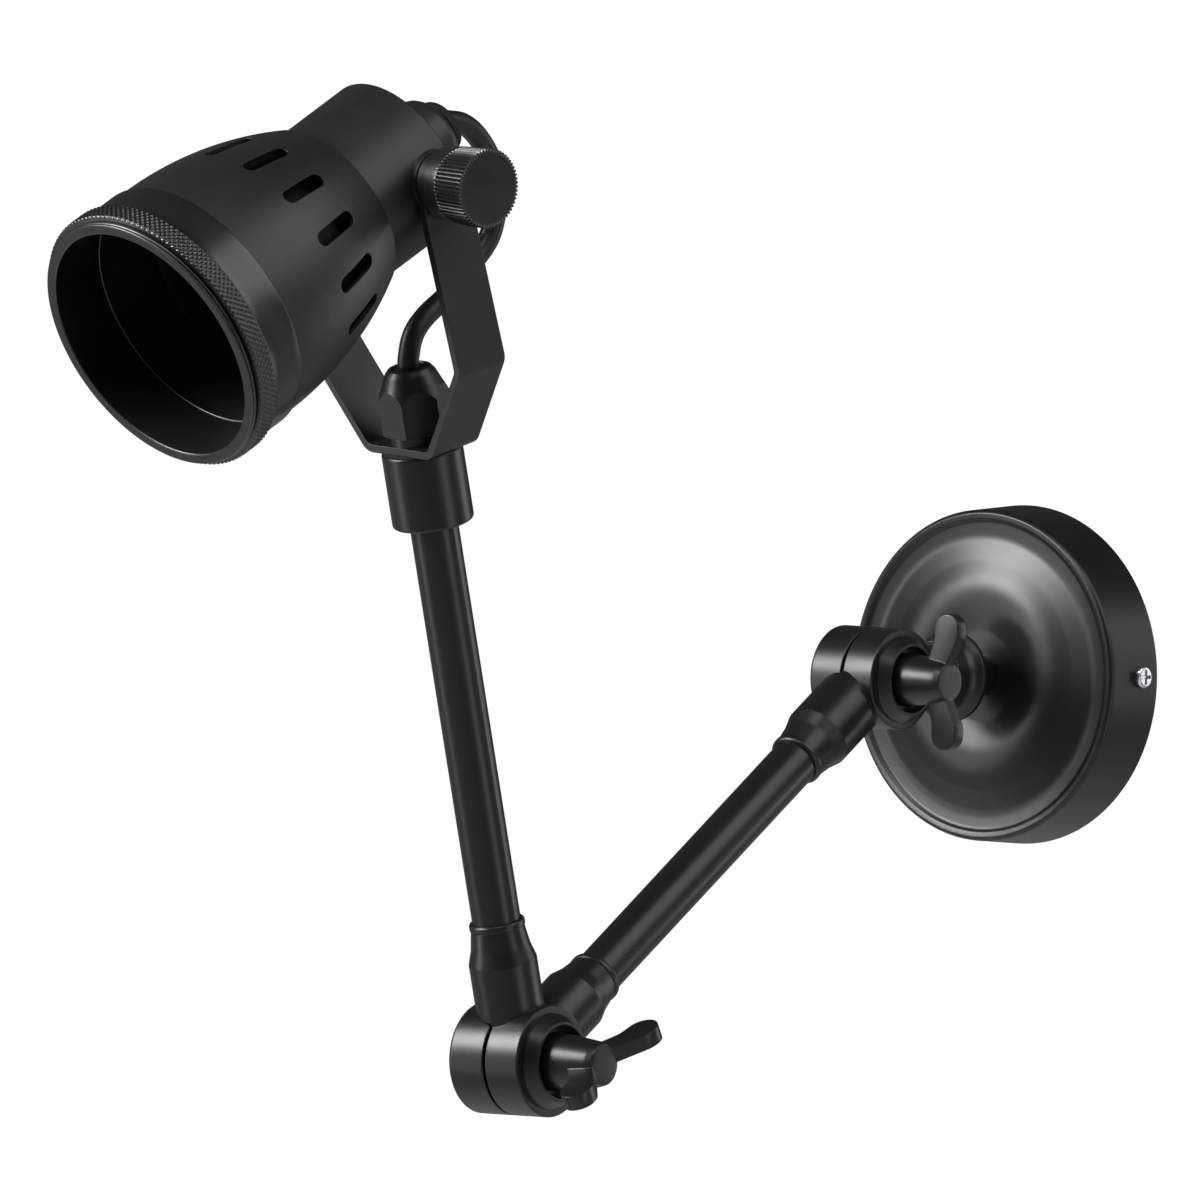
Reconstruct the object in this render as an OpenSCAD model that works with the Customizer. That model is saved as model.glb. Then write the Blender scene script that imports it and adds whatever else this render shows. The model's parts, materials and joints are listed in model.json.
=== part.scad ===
// Articulating wall lamp: a canopy on the wall, two hinged arms, a yoke and a tilting spotlight head.
// Origin: centre of the canopy's back face. +Z is up and the wall is the plane y = 0, behind the lamp.

/* [Canopy] */
// Diameter of the canopy at the wall
canopy_d = 100; // [90:1:130]
// Depth of the canopy from the wall to its front lip
canopy_depth = 20.4; // [18:0.2:30]
// Sheet thickness of the canopy
canopy_wall = 1.5; // [1:0.1:2]
// How far the canopy narrows towards the front, on the radius
canopy_draft = 1.1; // [0:0.1:2]
// Height of the dome's crest above the front lip
canopy_dome = 3; // [2:0.1:5]
// Depth of the dish in the middle of the dome
canopy_dish = 2; // [0:0.1:2.5]
// Depth of the groove inside the front lip
canopy_groove = 1.6; // [0.5:0.1:2.5]

/* [Wall bracket] */
// Distance between the two wall screw holes
screw_spacing = 60; // [50:1:66]
// Diameter of a wall screw hole
screw_hole_d = 5; // [4:0.5:6]
// Width of the bracket
bracket_w = 24; // [20:1:34]
// Thickness of the bracket sheet
bracket_t = 2; // [1.5:0.5:3]
// Diameter of the side screws that hold the canopy
side_screw_d = 3.4; // [3:0.1:4]
// Distance of the side screws from the wall
side_screw_y = 6.9; // [6:0.1:9]

/* [Wall stem] */
// Diameter of the stem's neck on the canopy
stem_neck_d = 12.4; // [11:0.2:16]
// Diameter of the stem's flange
flange_d = 27.2; // [24:0.2:30]
// Distance from the wall to the flange's edge
flange_reach = 36.2; // [32:0.2:40]
// Distance from the wall to the front of the flange's taper
boss_reach = 44.4; // [42:0.2:48]
// Distance from the wall to the first hinge
stem_reach = 72; // [70:1:90]
// Diameter of the stem's threaded tail
tail_d = 10; // [8:0.5:12]

/* [Arms] */
// Length of the lower arm between its hinges
lower_arm = 196.4; // [170:0.2:260]
// Angle of the lower arm below level
lower_angle = 34.4; // [0:0.1:60]
// Angle of the upper arm above level
upper_angle = 73.2; // [66:0.1:73.2]
// Diameter of both tubes
tube_d = 14.5; // [13:0.1:15.4]
// Wall thickness of both tubes
tube_wall = 1.2; // [1:0.1:1.6]
// Length of the upper arm from its hinge to the bottom of the coupler
upper_arm = 166.5; // [150:0.5:220]
// Diameter of the coupler on top of the upper arm
coupler_d = 24.4; // [22:0.2:28]
// Length of the coupler
coupler_l = 23.2; // [18:0.2:30]
// Diameter of the flexible cable inside and outside the lamp
cord_d = 6.5; // [6:0.1:6.8]

/* [Hinges] */
// Radius of the elbow hinge
knuckle_r = 16.6; // [16:0.1:18]
// Size of the wall hinge as a share of the elbow hinge
wall_hinge_share = 0.9; // [0.88:0.01:1]
// Width of a knuckle half on the bolt head side
half_w_head = 13.6; // [13:0.1:16]
// Width of a knuckle half on the wing nut side, up to its shoulder
half_w_nut = 12.6; // [11:0.1:15]
// Diameter of the hinge bolt
bolt_d = 6; // [5:0.5:7]
// Thickness of the friction washer between the knuckle halves
friction_t = 0.8; // [0.6:0.1:1.2]
// Diameter of the collars on the tubes' ends
collar_d = 20.4; // [19:0.1:21.2]
// Distance from the hinge to the end of the collar's straight part
collar_l = 30.7; // [28:0.1:36]
// Length of the collar's taper and bead together
taper_l = 12.6; // [10:0.1:16]

/* [Wing nuts] */
// Length of the wing nut's hub
nut_l = 19.6; // [16:0.1:22]
// Diameter of the hub at its base
nut_base_d = 17.6; // [16:0.1:18.4]
// Diameter of the hub at its tip
nut_tip_d = 12.4; // [11:0.1:14]
// Distance from the hub's axis to a wing's tip
wing_reach = 22.5; // [18:0.5:26]
// Width of a wing at its round tip
wing_w = 10.2; // [8:0.1:12]
// Thickness of a wing
wing_t = 4.8; // [3:0.1:5.4]

/* [Yoke] */
// Width of the yoke's strap
strap_w = 18.5; // [16:0.5:20]
// Thickness of the yoke's strap
strap_t = 2.4; // [1.2:0.1:2.6]
// Width across the yoke's arms, outside, at the bends
yoke_w = 66.4; // [62:0.2:76]
// Width of the yoke's flat bottom, outside
yoke_base_w = 27; // [26:0.5:34]
// Height of the arms' lower bends above the yoke's bottom
bend_rise = 28.6; // [22:0.2:34]
// Height of the tilt axis above the yoke's bottom
pivot_rise = 85.1; // [80:0.1:100]
// Turn of the yoke on the upper arm
yoke_turn = -9.4; // [-12:0.2:0]
// Largest radius of the gland nut
gland_r = 11; // [10:0.1:13]
// Height of the gland nut
gland_l = 19.8; // [18:0.2:26]
// Thickness of the washer under the gland nut
gland_washer_t = 2.8; // [1:0.1:3.4]

/* [Head] */
// Angle from the upper arm's axis to the way the shade looks
head_angle = 103.6; // [95:0.1:115]
// Diameter of the lampholder housing
housing_d = 52.2; // [48:0.2:52.4]
// Sheet thickness of the housing and the shade
head_wall = 1.5; // [1.2:0.1:2]
// Distance from the tilt axis to the housing's rear face
housing_rear = 7.8; // [6:0.2:12]
// Distance from the tilt axis to the shade's rear edge
shade_rear = 23.6; // [22:0.2:28]
// Distance from the tilt axis to the shade's widest place
shade_crest = 76.5; // [74:0.5:80]
// Radius of the shade at its widest place
shade_r = 40.5; // [39:0.1:42]
// Height of the step from the housing up to the shade's rear edge
shade_step = 2.3; // [2:0.1:4]
// Distance from the tilt axis to the front ring's rear edge
ring_rear = 79.5; // [78:0.5:84]
// Distance from the tilt axis to the mouth
mouth_z = 100.8; // [96:0.2:110]
// Outer radius of the front ring
ring_r = 41.3; // [41:0.1:43]
// Radius of the mouth
mouth_r = 37.5; // [35:0.1:38]
// Height of the knurled band above the ring
knurl_h = 1.3; // [0.8:0.1:1.6]
// Number of vent slots
slots = 15; // [9:1:16]
// Length of a vent slot
slot_l = 17.5; // [12:0.5:22]
// Width of a vent slot
slot_w = 4.8; // [3:0.1:5]
// Distance from the tilt axis to the middle of the vent slots
slot_z = 47.4; // [42:0.2:54]
// Radius of the cap behind the housing
cap_r = 12.2; // [10:0.1:14]
// Length of the cap behind the housing
cap_l = 16.4; // [10:0.2:17]
// Distance from the tilt axis to the end of the strain relief
relief_end = 28.4; // [28:0.2:34]

/* [Tilt knob] */
// Diameter of the knob at its face
knob_d = 23.8; // [20:0.2:26]
// Diameter of the knob where it meets the washer
knob_neck_d = 21.8; // [16:0.2:22.6]
// Distance from the head's axis to the knob's face
knob_face = 48.5; // [44:0.1:54]
// Diameter of the tilt screw
tilt_screw_d = 6; // [5:0.5:7]

/* [Lampholder] */
// Inside diameter of the screw socket
socket_d = 26.6; // [26:0.1:27.4]
// Outside diameter of the lampholder
holder_d = 40; // [36:0.5:42]
// Depth of the screw socket
socket_l = 22; // [20:0.5:26]

/* [Hidden] */
$fn = 96;

// Fits and clearances
run_fit = 0.05;
side_gap = 0.3;
seat_gap = 2;
over = 1;

// Rounded corners: number of steps, and the most of a side that one corner may take
corner_steps = 6;
corner_share = 0.49;
edge_round = 0.5;
soft_round = 1.2;

// Canopy and bracket
canopy_r = canopy_d / 2;
canopy_crest = canopy_depth + canopy_dome;
canopy_seat = canopy_crest - canopy_dish;
lip_round = 2.5;
groove_in = 7.4;
groove_round = 4;
crest_share = 0.54;
crest_round = 25;
dish_share = 0.26;
dish_round = 8;
screw_turn = 2;
side_head_d = 6.5;
side_head_h = 1.7;
side_flat = 0.4;
side_seat = canopy_r - side_flat;
side_screw_l = 8;
slot_cross_w = 0.9;
slot_cross_l = 4.4;
slot_deep = 0.9;
tab_w = 12;
tab_h = 12;
tab_gap = 0.6;
tab_x = canopy_r - canopy_wall - canopy_draft - tab_gap;
bracket_eye_d = 16;
arm_up = 33;
block_w = 26;
block_h = 14;
block_deep = 12;
block_y = 24;
block_pitch = 8;
clamp_screw_d = 4;
clamp_sink = 1;
earth_x = 16;
earth_d = 7;
earth_h = 2.6;
earth_hole_d = 3.4;

// Wall stem
tail_in = 10;
neck_end = 33;
flange_back = 34.6;
flare_r = 11.2;
flare_y = 38.6;
flare_round = 6;
flare_step = 0.3;
stem_washer_d = 18;
stem_washer_t = 1.2;
stem_nut_d = 16.5;
stem_nut_h = 4.6;
cable_bore_r = cord_d / 2 + run_fit;
cable_out = 2;
stem_cable_stop = 18;
stem_cable_start = canopy_seat - canopy_wall - tail_in - cable_out;

// Hinges
bolt_r = bolt_d / 2;
bolt_head_d = 11;
bolt_head_h = 3;
bolt_key_d = 5;
bolt_end = 26;
shoulder_share = 0.86;
shoulder_tip_share = 0.71;
shoulder_step = 0.7;
shoulder_l = 4.4;
seat_deep = 4;
friction_share = 0.78;
trim_gap = 0.9;
knuckle_round = 1.3;
nut_seat = half_w_nut + shoulder_l - seat_deep;
nut_flange_l = 3.2;
nut_round = 6;
nut_tip = nut_seat + nut_l;
seat_r = nut_base_d / 2 + seat_gap;
wing_root_in = 8.4;
wing_root_out = 1;
wing_lift = -0.6;
wall_wing_turn = 0;
elbow_wing_turn = -60;
elbow_wing_lean = 4;

// Arms
collar_r = collar_d / 2;
collar_end = collar_l + taper_l;
neck_d = 16;
ogee_d = 17.8;
ogee_l = 4.4;
ogee_round = 10;
bead_d = 16.7;
bead_l = 2.2;
bead_round = 1;
tube_stop = 27;
cable_stop = 18;
coupler_round = 1;
coupler_stop = 14;
nipple_d = 10;
nipple_up = 17;
elbow = [0, -stem_reach - lower_arm * cos(lower_angle), -lower_arm * sin(lower_angle)];

// Yoke
yoke_base = upper_arm + coupler_l;
strap_bend = 4;
strap_top_flat = 11;
strap_gap = 0.3;
boss_out = 0.5;
boss_face = housing_d / 2 + boss_out;
strap_in = boss_face + strap_gap;
strap_out = strap_in + strap_t;
gland_base = strap_t + gland_washer_t;
gland_washer_d = 18.4;
gland_foot_r = 10.8;
gland_flat_r = 9.4;
gland_turn = -3;
gland_top_r = 6.4;
gland_cone_r = 7.7;
gland_wide_share = 0.53;
gland_cone_share = 0.91;
gland_pocket_share = 0.76;
gland_top = gland_base + gland_l;
gland_hole_r = 5.3;
seal_sink = 0.6;

// Head
housing_r = housing_d / 2;
housing_front = 29;
boss_r = 9.6;
boss_deep = 3.1;
boss_in = housing_r - boss_deep;
lug_out = 1.9;
lug_r = housing_r + lug_out;
shade_front = 81;
shade_rise = shade_r - housing_r - shade_step;
shade_run = shade_crest - shade_rear;
shade_curve = (shade_run * shade_run + shade_rise * shade_rise) / 2 / shade_rise;
ring_groove_z = 98.9;
knurl_rear = 91.6;
knurl_front = 98.5;
ring_lip_r = 40.9;
ring_groove_r = 40.2;
shade_steps = 20;
slot_turn = 20;
slot_reach = 60;
cap_round = 4;
relief_neck_r = 7.2;
relief_bead_r = 8.3;
relief_bead_z = 25.2;
relief_shaft_r = 4.4;
relief_in = 9;
relief_round = 1.9;
baffle_step = 0.1;
baffle_rear_r = housing_r - baffle_step;
baffle_inset = 3.4;
baffle_front = 58;
baffle_t = 0.8;
baffle_front_r = shade_at(baffle_front, head_wall + baffle_inset)[0];

// Tilt knob and pivot
washer_t = 0.9;
washer_r = 10.3;
washer_bore_r = tilt_screw_d / 2 + run_fit;
knob_back = strap_out + washer_t;
knob_band_d = 22.8;
knob_step = 37;
stud_out = 1.5;
stud_in = boss_in - stud_out;
far_head_d = 15;
far_head_h = 2.5;
far_key_d = 5;
far_nut_d = 10;
far_nut_h = 2.6;

// Lampholder
socket_r = socket_d / 2;
holder_base = head_wall - housing_rear;
holder_base_h = 3;
holder_post_r = 14;
holder_rear = 6;
holder_front = 34;
socket_t = 0.6;
socket_floor = holder_front - socket_l;
contact_d = 8;
contact_h = 1.6;
contact_sink = 0.2;
holder_screw_r = 17;
holder_screw_d = 4;
holder_head_d = 7;
holder_head_h = 2;
holder_screw_l = 5;

// Cord: [towards the wall, up] from the yoke's bottom; its two ends are worked out
cord_sides = 12;
cord_lift = 2;
cord_out = 1.6;
cord_route = [[0.9, 29], [2.3, 32], [4.6, 34.8], [8, 37.1], [12, 38.9], [16.5, 40.4], [22, 42.7],
    [27.5, 45.8],
    [32.3, 49], [35.8, 51.2], [38.7, 53.7], [41, 57], [42.7, 60.8], [43.8, 65], [44.3, 69.5], [44, 74],
    [43, 78.2], [41.4, 81.8], [39.6, 84.9], [37.6, 87.5], [35.5, 89.4], [33.4, 90.7], [31.4, 91.5]];

function unit(v) = v / norm(v);

// Points of a rounded corner at p, between its neighbours a and b
function corner(a, p, b, r) = r <= 0 ? [p] :
    let(u = unit(a - p), w = unit(b - p), half = acos(u * w) / 2,
        d = min(r / tan(half), corner_share * norm(a - p), corner_share * norm(b - p)),
        rr = d * tan(half), c = p + unit(u + w) * rr / sin(half),
        s = p + u * d - c, e = p + w * d - c,
        a0 = atan2(s[1], s[0]), turn = atan2(s[0] * e[1] - s[1] * e[0], s * e))
    [for (i = [0:corner_steps]) let(t = a0 + turn * i / corner_steps) c + rr * [cos(t), sin(t)]];

function at(q) = [q[0], q[1]];

// A closed outline from [r, z] or [r, z, rounding] points
function rounding(p) = len(p) > 2 ? p[2] : 0;
function rounded(q) = let(n = len(q)) [for (i = [0:n - 1])
    each corner(at(q[(i + n - 1) % n]), at(q[i]), at(q[(i + 1) % n]), rounding(q[i]))];

// An open path from the same kind of points
function path(q) = [for (i = [0:len(q) - 1]) each
    (i == 0 || i == len(q) - 1) ? [at(q[i])] : corner(at(q[i - 1]), at(q[i]), at(q[i + 1]), rounding(q[i]))];

// The same path moved sideways by d
function beside(q, d) = [for (i = [0:len(q) - 1])
    let(a = q[max(i - 1, 0)], b = q[min(i + 1, len(q) - 1)],
        u = i > 0 ? unit(q[i] - a) : unit(b - q[i]),
        w = i < len(q) - 1 ? unit(b - q[i]) : u, m = unit(u + w))
    q[i] + [m[1], -m[0]] * d / (m * u)];

function backwards(q) = [for (i = [len(q) - 1:-1:0]) q[i]];

module turned(q) rotate_extrude() polygon(rounded(q));

// Frames: z runs along the piece in each of them
module wall_frame() rotate([90, 0, 0]) children();
module wall_hinge_frame() translate([0, -stem_reach, 0]) children();
module lower_frame() translate([0, -stem_reach, 0]) rotate([90 + lower_angle, 0, 0]) children();
module elbow_frame() translate(elbow) children();
module lower_end_frame() translate(elbow) rotate([270 + lower_angle, 0, 0]) children();
module upper_frame() translate(elbow) rotate([90 - upper_angle, 0, 0]) children();
module yoke_frame() upper_frame() translate([0, 0, yoke_base]) rotate([0, 0, yoke_turn]) children();
module head_frame() yoke_frame() translate([0, 0, pivot_rise]) rotate([head_angle, 0, 0]) children();
module to_right() rotate([0, 90, 0]) children();
module to_left() rotate([0, -90, 0]) children();

module cross_slot(z) {
    for (turn = [0, 90]) rotate([0, 0, turn])
        translate([-slot_cross_l / 2, -slot_cross_w / 2, z - slot_deep])
            cube([slot_cross_l, slot_cross_w, slot_deep + over]);
}

// Canopy and what it hides
module side_screw_at(side) wall_frame() rotate([0, 0, side > 0 ? screw_turn : 180 + screw_turn])
    translate([0, 0, side_screw_y]) to_right() children();

module canopy() color([0.13, 0.13, 0.14]) difference() {
    wall_frame() turned([
        [canopy_r - canopy_wall, 0], [canopy_r, 0], [canopy_r - canopy_draft, canopy_depth, lip_round],
        [canopy_r - canopy_draft - groove_in, canopy_depth - canopy_groove, groove_round],
        [crest_share * canopy_r, canopy_crest, crest_round], [dish_share * canopy_r, canopy_seat, dish_round],
        [tail_d / 2 + run_fit, canopy_seat], [tail_d / 2 + run_fit, canopy_seat - canopy_wall],
        [dish_share * canopy_r, canopy_seat - canopy_wall, dish_round + canopy_wall],
        [crest_share * canopy_r, canopy_crest - canopy_wall, crest_round - canopy_wall],
        [canopy_r - canopy_draft - groove_in, canopy_depth - canopy_groove - canopy_wall,
            groove_round + canopy_wall],
        [canopy_r - canopy_draft - canopy_wall, canopy_depth - canopy_groove - canopy_wall, edge_round]]);
    for (side = [-1, 1]) side_screw_at(side) {
        translate([0, 0, tab_x]) cylinder(d = side_screw_d + side_gap, h = 4 * canopy_wall);
        translate([0, 0, side_seat]) cylinder(d = side_head_d + side_gap, h = side_head_h);
    }
}

module wall_bracket() color([0.72, 0.73, 0.74]) difference() {
    union() {
        wall_frame() rotate([0, 0, screw_turn]) {
            translate([-tab_x, -bracket_w / 2, 0]) cube([2 * tab_x, bracket_w, bracket_t]);
            translate([-bracket_w / 2, 0, 0]) cube([bracket_w, arm_up, bracket_t]);
            for (side = [-1, 1]) translate([side * (tab_x - bracket_t / 2) - bracket_t / 2, -tab_w / 2, 0])
                cube([bracket_t, tab_w, tab_h]);
        }
    }
    wall_frame() rotate([0, 0, screw_turn]) {
        translate([0, 0, -over]) cylinder(d = bracket_eye_d, h = bracket_t + 2 * over);
        translate([earth_x, 0, -over]) cylinder(d = earth_hole_d + 2 * run_fit, h = bracket_t + 2 * over);
    }
    wall_frame() for (side = [-1, 1]) translate([side * screw_spacing / 2, 0, -over])
        cylinder(d = screw_hole_d, h = bracket_t + 2 * over);
    for (side = [-1, 1]) side_screw_at(side) translate([0, 0, tab_x - bracket_t - over])
        cylinder(d = side_screw_d + 2 * run_fit, h = bracket_t + 2 * over);
}

module side_screws() color([0.78, 0.79, 0.8]) for (side = [-1, 1]) side_screw_at(side) difference() {
    turned([[0, side_seat - side_screw_l], [side_screw_d / 2, side_seat - side_screw_l, edge_round],
        [side_screw_d / 2, side_seat], [side_head_d / 2, side_seat],
        [side_head_d / 2, side_seat + side_head_h, soft_round], [0, side_seat + side_head_h]]);
    cross_slot(side_seat + side_head_h);
}

module terminal_block() color([0.86, 0.85, 0.8]) wall_frame() rotate([0, 0, screw_turn]) difference() {
    translate([-block_w / 2, block_y - block_h / 2, bracket_t]) cube([block_w, block_h, block_deep]);
    for (k = [-1:1]) translate([k * block_pitch, block_y, bracket_t + block_deep / 2])
        cylinder(d = clamp_screw_d + 2 * run_fit, h = block_deep);
}

module terminal_screws() color([0.78, 0.67, 0.38]) wall_frame() rotate([0, 0, screw_turn]) for (k = [-1:1])
    translate([k * block_pitch, block_y, bracket_t + block_deep / 2]) difference() {
        cylinder(d = clamp_screw_d, h = block_deep / 2 - clamp_sink);
        translate([-clamp_screw_d, -slot_cross_w / 2, block_deep / 2 - clamp_sink - slot_deep])
            cube([2 * clamp_screw_d, slot_cross_w, slot_deep + over]);
    }

module earth_screw() color([0.78, 0.67, 0.38]) wall_frame() rotate([0, 0, screw_turn])
    translate([earth_x, 0, 0]) difference() {
        turned([[0, 0], [earth_hole_d / 2, 0], [earth_hole_d / 2, bracket_t], [earth_d / 2, bracket_t],
            [earth_d / 2, bracket_t + earth_h, soft_round], [0, bracket_t + earth_h]]);
        cross_slot(bracket_t + earth_h);
    }

// Wall stem
module stem_boss() color([0.12, 0.12, 0.13]) wall_frame() turned([
    [cable_bore_r, canopy_seat - canopy_wall - tail_in],
    [tail_d / 2, canopy_seat - canopy_wall - tail_in, edge_round], [tail_d / 2, canopy_seat],
    [stem_neck_d / 2, canopy_seat], [stem_neck_d / 2, neck_end, soft_round],
    [flange_d / 2, flange_back, edge_round], [flange_d / 2, flange_reach, edge_round],
    [flare_r, flare_y, flare_round], [collar_r + flare_step, boss_reach, edge_round],
    [cable_bore_r, boss_reach]]);

module stem_washer() color([0.78, 0.79, 0.8]) wall_frame()
    translate([0, 0, canopy_seat - canopy_wall - stem_washer_t]) difference() {
        cylinder(d = stem_washer_d, h = stem_washer_t);
        translate([0, 0, -over]) cylinder(d = tail_d + 2 * run_fit, h = stem_washer_t + 2 * over);
    }

module stem_nut() color([0.78, 0.79, 0.8]) wall_frame()
    translate([0, 0, canopy_seat - canopy_wall - stem_washer_t - stem_nut_h]) difference() {
        cylinder(d = stem_nut_d, h = stem_nut_h, $fn = 6);
        translate([0, 0, -over]) cylinder(d = tail_d + 2 * run_fit, h = stem_nut_h + 2 * over);
    }

module stem_cable() color([0.05, 0.05, 0.05]) wall_frame() translate([0, 0, stem_cable_start])
    cylinder(d = cord_d, h = stem_reach - stem_cable_stop - stem_cable_start);

// Hinge halves, drawn at the elbow's size with x as the hinge axis
module head_half() to_left() turned([
    [0, friction_t / 2], [knuckle_r, friction_t / 2, edge_round],
    [knuckle_r, half_w_head, knuckle_round], [0, half_w_head]]);

module nut_half() to_right() turned([
    [0, friction_t / 2], [knuckle_r, friction_t / 2, edge_round], [knuckle_r, half_w_nut, edge_round],
    [shoulder_share * knuckle_r, half_w_nut], [shoulder_share * knuckle_r, half_w_nut + shoulder_step],
    [shoulder_tip_share * knuckle_r, half_w_nut + shoulder_l, edge_round],
    [seat_r, half_w_nut + shoulder_l, edge_round], [seat_r, nut_seat], [0, nut_seat]]);

module head_half_cuts() to_left() {
    cylinder(r = bolt_r + run_fit, h = half_w_head + over);
    translate([0, 0, half_w_head - bolt_head_h]) cylinder(d = bolt_head_d + side_gap, h = bolt_head_h + over);
}

module nut_half_cuts() to_right() cylinder(r = bolt_r + run_fit, h = nut_seat + over);

// The space of the other half, cleared out of a collar; side is -1 or 1 for the collar's own half
module other_half(side, share) scale(share) translate([side * friction_t / 2, 0, 0])
    rotate([0, side > 0 ? -90 : 90, 0]) cylinder(r = knuckle_r + trim_gap, h = 2 * knuckle_r);

module collar_cuts(start) {
    translate([0, 0, start]) cylinder(r = cable_bore_r, h = collar_end);
    translate([0, 0, tube_stop]) cylinder(r = tube_d / 2 + run_fit, h = collar_end);
}

module collar() turned([
    [0, 0], [collar_r, 0], [collar_r, collar_l, edge_round], [ogee_d / 2, collar_l + ogee_l, ogee_round],
    [neck_d / 2, collar_end - bead_l], [bead_d / 2, collar_end - bead_l, bead_round],
    [bead_d / 2, collar_end, bead_round], [0, collar_end]]);

module knuckle(side, share) difference() {
    union() {
        scale(share) {
            if (side > 0) nut_half();
            else head_half();
        }
        collar();
    }
    other_half(side, share);
    scale(share) {
        if (side > 0) nut_half_cuts();
        else head_half_cuts();
    }
    collar_cuts(cable_stop);
}

module stem_knuckle() color([0.12, 0.12, 0.13]) wall_hinge_frame() rotate([-90, 0, 0]) difference() {
    union() {
        scale(wall_hinge_share) head_half();
        cylinder(r = collar_r, h = stem_reach - boss_reach);
    }
    other_half(-1, wall_hinge_share);
    scale(wall_hinge_share) head_half_cuts();
    translate([0, 0, stem_cable_stop]) cylinder(r = cable_bore_r, h = stem_reach);
}

module hinge_bolt() to_left() difference() {
    turned([[0, -bolt_end], [bolt_r, -bolt_end, edge_round], [bolt_r, half_w_head - bolt_head_h],
        [bolt_head_d / 2, half_w_head - bolt_head_h], [bolt_head_d / 2, half_w_head, edge_round],
        [0, half_w_head]]);
    translate([0, 0, half_w_head - bolt_head_h / 2])
        cylinder(d = bolt_key_d, h = bolt_head_h, $fn = 6);
}

module hinge_washer() to_right() translate([0, 0, -friction_t / 2]) difference() {
    cylinder(r = friction_share * knuckle_r, h = friction_t);
    translate([0, 0, -over]) cylinder(r = bolt_r + run_fit, h = friction_t + 2 * over);
}

// Wings stand in the plane of the hinge axis and z
module wing(lift) rotate([0, 90, -90]) translate([0, 0, -wing_t / 2]) linear_extrude(height = wing_t) {
    translate([-wing_reach + wing_w / 2, nut_tip + lift]) circle(d = wing_w);
    polygon([[0, nut_tip - wing_root_in], [0, nut_tip - wing_root_out],
        [-wing_reach + wing_w / 2, nut_tip + lift + wing_w / 2],
        [-wing_reach + wing_w / 2, nut_tip + lift - wing_w / 2]]);
}

module wing_nut(lift) difference() {
    union() {
        to_right() turned([[0, nut_seat], [nut_base_d / 2, nut_seat, edge_round],
            [nut_base_d / 2, nut_seat + nut_flange_l, nut_round],
            [nut_tip_d / 2, nut_tip, edge_round], [0, nut_tip]]);
        for (turn = [0, 180]) rotate([turn, 0, 0]) wing(lift);
    }
    to_right() cylinder(r = bolt_r + run_fit, h = bolt_end + edge_round);
}

module wall_hinge_bolt() color([0.78, 0.79, 0.8]) wall_hinge_frame() scale(wall_hinge_share) hinge_bolt();
module wall_hinge_washer() color([0.2, 0.2, 0.21]) wall_hinge_frame() scale(wall_hinge_share) hinge_washer();
module wall_wing_nut() color([0.12, 0.12, 0.13]) wall_hinge_frame() scale(wall_hinge_share)
    rotate([wall_wing_turn, 0, 0]) wing_nut(wing_lift);
module elbow_hinge_bolt() color([0.78, 0.79, 0.8]) elbow_frame() hinge_bolt();
module elbow_hinge_washer() color([0.2, 0.2, 0.21]) elbow_frame() hinge_washer();
module elbow_wing_nut() color([0.12, 0.12, 0.13]) elbow_frame() rotate([elbow_wing_turn, 0, 0])
    wing_nut(wing_lift + elbow_wing_lean);

// Arms
module lower_arm_top_knuckle() color([0.12, 0.12, 0.13]) lower_frame() knuckle(1, wall_hinge_share);
module lower_arm_end_knuckle() color([0.12, 0.12, 0.13]) lower_end_frame() knuckle(-1, 1);
module upper_arm_knuckle() color([0.12, 0.12, 0.13]) upper_frame() knuckle(1, 1);

module tube(l) difference() {
    cylinder(d = tube_d, h = l);
    translate([0, 0, -over]) cylinder(d = tube_d - 2 * tube_wall, h = l + 2 * over);
}

module lower_arm_tube() color([0.12, 0.12, 0.13]) lower_frame() translate([0, 0, tube_stop])
    tube(lower_arm - 2 * tube_stop);
module lower_arm_cable() color([0.05, 0.05, 0.05]) lower_frame() translate([0, 0, cable_stop + side_gap])
    cylinder(d = cord_d, h = lower_arm - 2 * cable_stop - 2 * side_gap);
module upper_arm_tube() color([0.12, 0.12, 0.13]) upper_frame() translate([0, 0, tube_stop])
    tube(upper_arm + coupler_stop - tube_stop);
module upper_arm_cable() color([0.05, 0.05, 0.05]) upper_frame() translate([0, 0, cable_stop + side_gap])
    cylinder(d = cord_d, h = yoke_base + nipple_up - cable_stop - side_gap);

module upper_arm_coupler() color([0.12, 0.12, 0.13]) upper_frame() turned([
    [tube_d / 2 + run_fit, upper_arm], [coupler_d / 2, upper_arm, coupler_round],
    [coupler_d / 2, yoke_base, coupler_round], [nipple_d / 2 + run_fit, yoke_base],
    [nipple_d / 2 + run_fit, upper_arm + coupler_stop],
    [tube_d / 2 + run_fit, upper_arm + coupler_stop]]);

module upper_arm_nipple() color([0.72, 0.73, 0.74]) upper_frame() turned([
    [cable_bore_r, upper_arm + coupler_stop], [nipple_d / 2, upper_arm + coupler_stop],
    [nipple_d / 2, yoke_base + nipple_up, edge_round], [cable_bore_r, yoke_base + nipple_up]]);

// Yoke
strap_line = path([[0, strap_t / 2], [yoke_base_w / 2, strap_t / 2, strap_bend],
    [yoke_w / 2 - strap_t / 2, bend_rise, strap_bend],
    [strap_in + strap_t / 2, pivot_rise - strap_top_flat, strap_bend],
    [strap_in + strap_t / 2, pivot_rise + strap_w / 2 + over]]);

module strap_side() rotate([90, 0, 0]) translate([0, 0, -strap_w])
    linear_extrude(height = 2 * strap_w)
        polygon(concat(beside(strap_line, strap_t / 2), backwards(beside(strap_line, -strap_t / 2))));

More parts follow.
